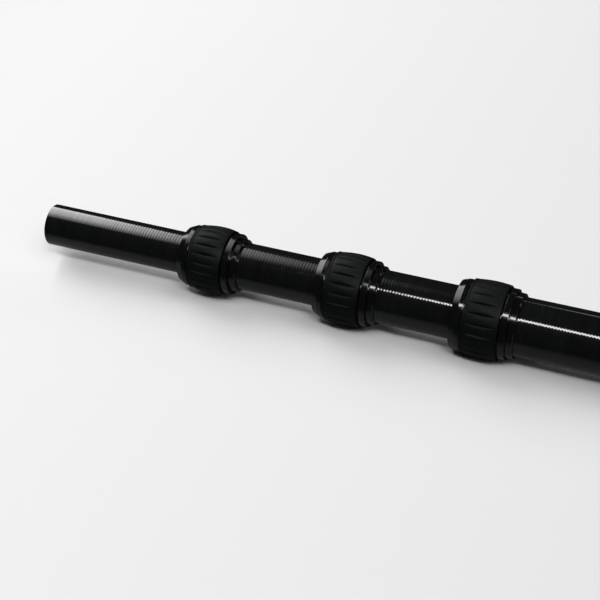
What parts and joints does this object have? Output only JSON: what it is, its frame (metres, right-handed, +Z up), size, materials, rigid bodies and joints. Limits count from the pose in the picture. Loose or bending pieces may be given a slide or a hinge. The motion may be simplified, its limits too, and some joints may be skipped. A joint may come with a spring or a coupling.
{
  "type": "prism pole",
  "caption": "Telescopic prism pole: nested tape-wound carbon tubes with rubber-gripped twist locks, a threaded top socket and a steel ground point.",
  "frame": {"origin": "on the pole's axis, in the lower end plane of the base tube, just behind the ground point's socket", "axes": "+X along the axis from the thin top end to the ground point, +Z up; the pole lies horizontally, as it is laid down for transport"},
  "size_m": [0.9638, 0.0502, 0.0502],
  "materials": {
    "wound_carbon": "clear resin over tape-wound carbon fibre, fine ridges round the tube",
    "hard_black": "polished black hard plastic",
    "grip_rubber": "matt moulded rubber",
    "slide_plastic": "natural acetal",
    "seal_rubber": "smooth",
    "felt": "dense felt",
    "plug_plastic": "matt",
    "aluminium": "turned, clear anodised",
    "black_aluminium": "turned, black anodised",
    "steel": "turned, hardened"
  },
  "bodies": {
    "base_section": {"base_tube": "wound_carbon", "base_socket": "black_aluminium", "ground_point": "steel", "lower_lock_ferrule": "hard_black", "lower_lock_seal_ring": "seal_rubber"},
    "lower_section": {"lower_tube": "wound_carbon", "lower_tube_guide_bush": "slide_plastic", "middle_lock_ferrule": "hard_black", "middle_lock_seal_ring": "seal_rubber"},
    "upper_section": {"upper_tube": "wound_carbon", "upper_tube_guide_bush": "slide_plastic", "upper_lock_ferrule": "hard_black", "upper_lock_seal_ring": "seal_rubber"},
    "top_section": {"top_tube": "wound_carbon", "top_tube_guide_bush": "slide_plastic", "top_insert": "aluminium", "top_tube_end_plug": "plug_plastic"},
    "upper_lock_clamp": {"upper_lock_collet": "slide_plastic", "upper_lock_thrust_washer": "slide_plastic"},
    "upper_lock_nut": {"upper_lock_nut": "hard_black", "upper_lock_grip": "grip_rubber", "upper_lock_wiper": "felt"},
    "middle_lock_clamp": {"middle_lock_collet": "slide_plastic", "middle_lock_thrust_washer": "slide_plastic"},
    "middle_lock_nut": {"middle_lock_nut": "hard_black", "middle_lock_grip": "grip_rubber", "middle_lock_wiper": "felt"},
    "lower_lock_clamp": {"lower_lock_collet": "slide_plastic", "lower_lock_thrust_washer": "slide_plastic"},
    "lower_lock_nut": {"lower_lock_nut": "hard_black", "lower_lock_grip": "grip_rubber", "lower_lock_wiper": "felt"}
  },
  "joints": [
    {"name": "lower_section_slide", "type": "slide", "parent": "base_section", "child": "lower_section", "axis": [-1, 0, 0], "range_m": [-0.0486, 0.4078]},
    {"name": "upper_section_slide", "type": "slide", "parent": "lower_section", "child": "upper_section", "axis": [-1, 0, 0], "range_m": [-0.0529, 0.4036]},
    {"name": "top_section_slide", "type": "slide", "parent": "upper_section", "child": "top_section", "axis": [-1, 0, 0], "range_m": [-0.0853, 0.3718]},
    {"name": "upper_lock_clamp_slide", "type": "slide", "parent": "upper_section", "child": "upper_lock_clamp", "axis": [-1, 0, 0], "range_m": [0, 0.00101]},
    {"name": "upper_lock_twist", "type": "hinge", "parent": "upper_lock_clamp", "child": "upper_lock_nut", "pos_m": [-0.754, 0, 0], "axis": [-1, 0, 0], "range_deg": [0, 180]},
    {"name": "middle_lock_clamp_slide", "type": "slide", "parent": "lower_section", "child": "middle_lock_clamp", "axis": [-1, 0, 0], "range_m": [0, 0.00101]},
    {"name": "middle_lock_twist", "type": "hinge", "parent": "middle_lock_clamp", "child": "middle_lock_nut", "pos_m": [-0.6581, 0, 0], "axis": [-1, 0, 0], "range_deg": [0, 180]},
    {"name": "lower_lock_clamp_slide", "type": "slide", "parent": "base_section", "child": "lower_lock_clamp", "axis": [-1, 0, 0], "range_m": [0, 0.00101]},
    {"name": "lower_lock_twist", "type": "hinge", "parent": "lower_lock_clamp", "child": "lower_lock_nut", "pos_m": [-0.5664, 0, 0], "axis": [-1, 0, 0], "range_deg": [0, 180]}
  ],
  "couplings": [
    {"joint": "upper_lock_clamp_slide", "follows": "upper_lock_twist", "m_per_rad": 0.00031831},
    {"joint": "middle_lock_clamp_slide", "follows": "middle_lock_twist", "m_per_rad": 0.00031831},
    {"joint": "lower_lock_clamp_slide", "follows": "lower_lock_twist", "m_per_rad": 0.00031831}
  ]
}
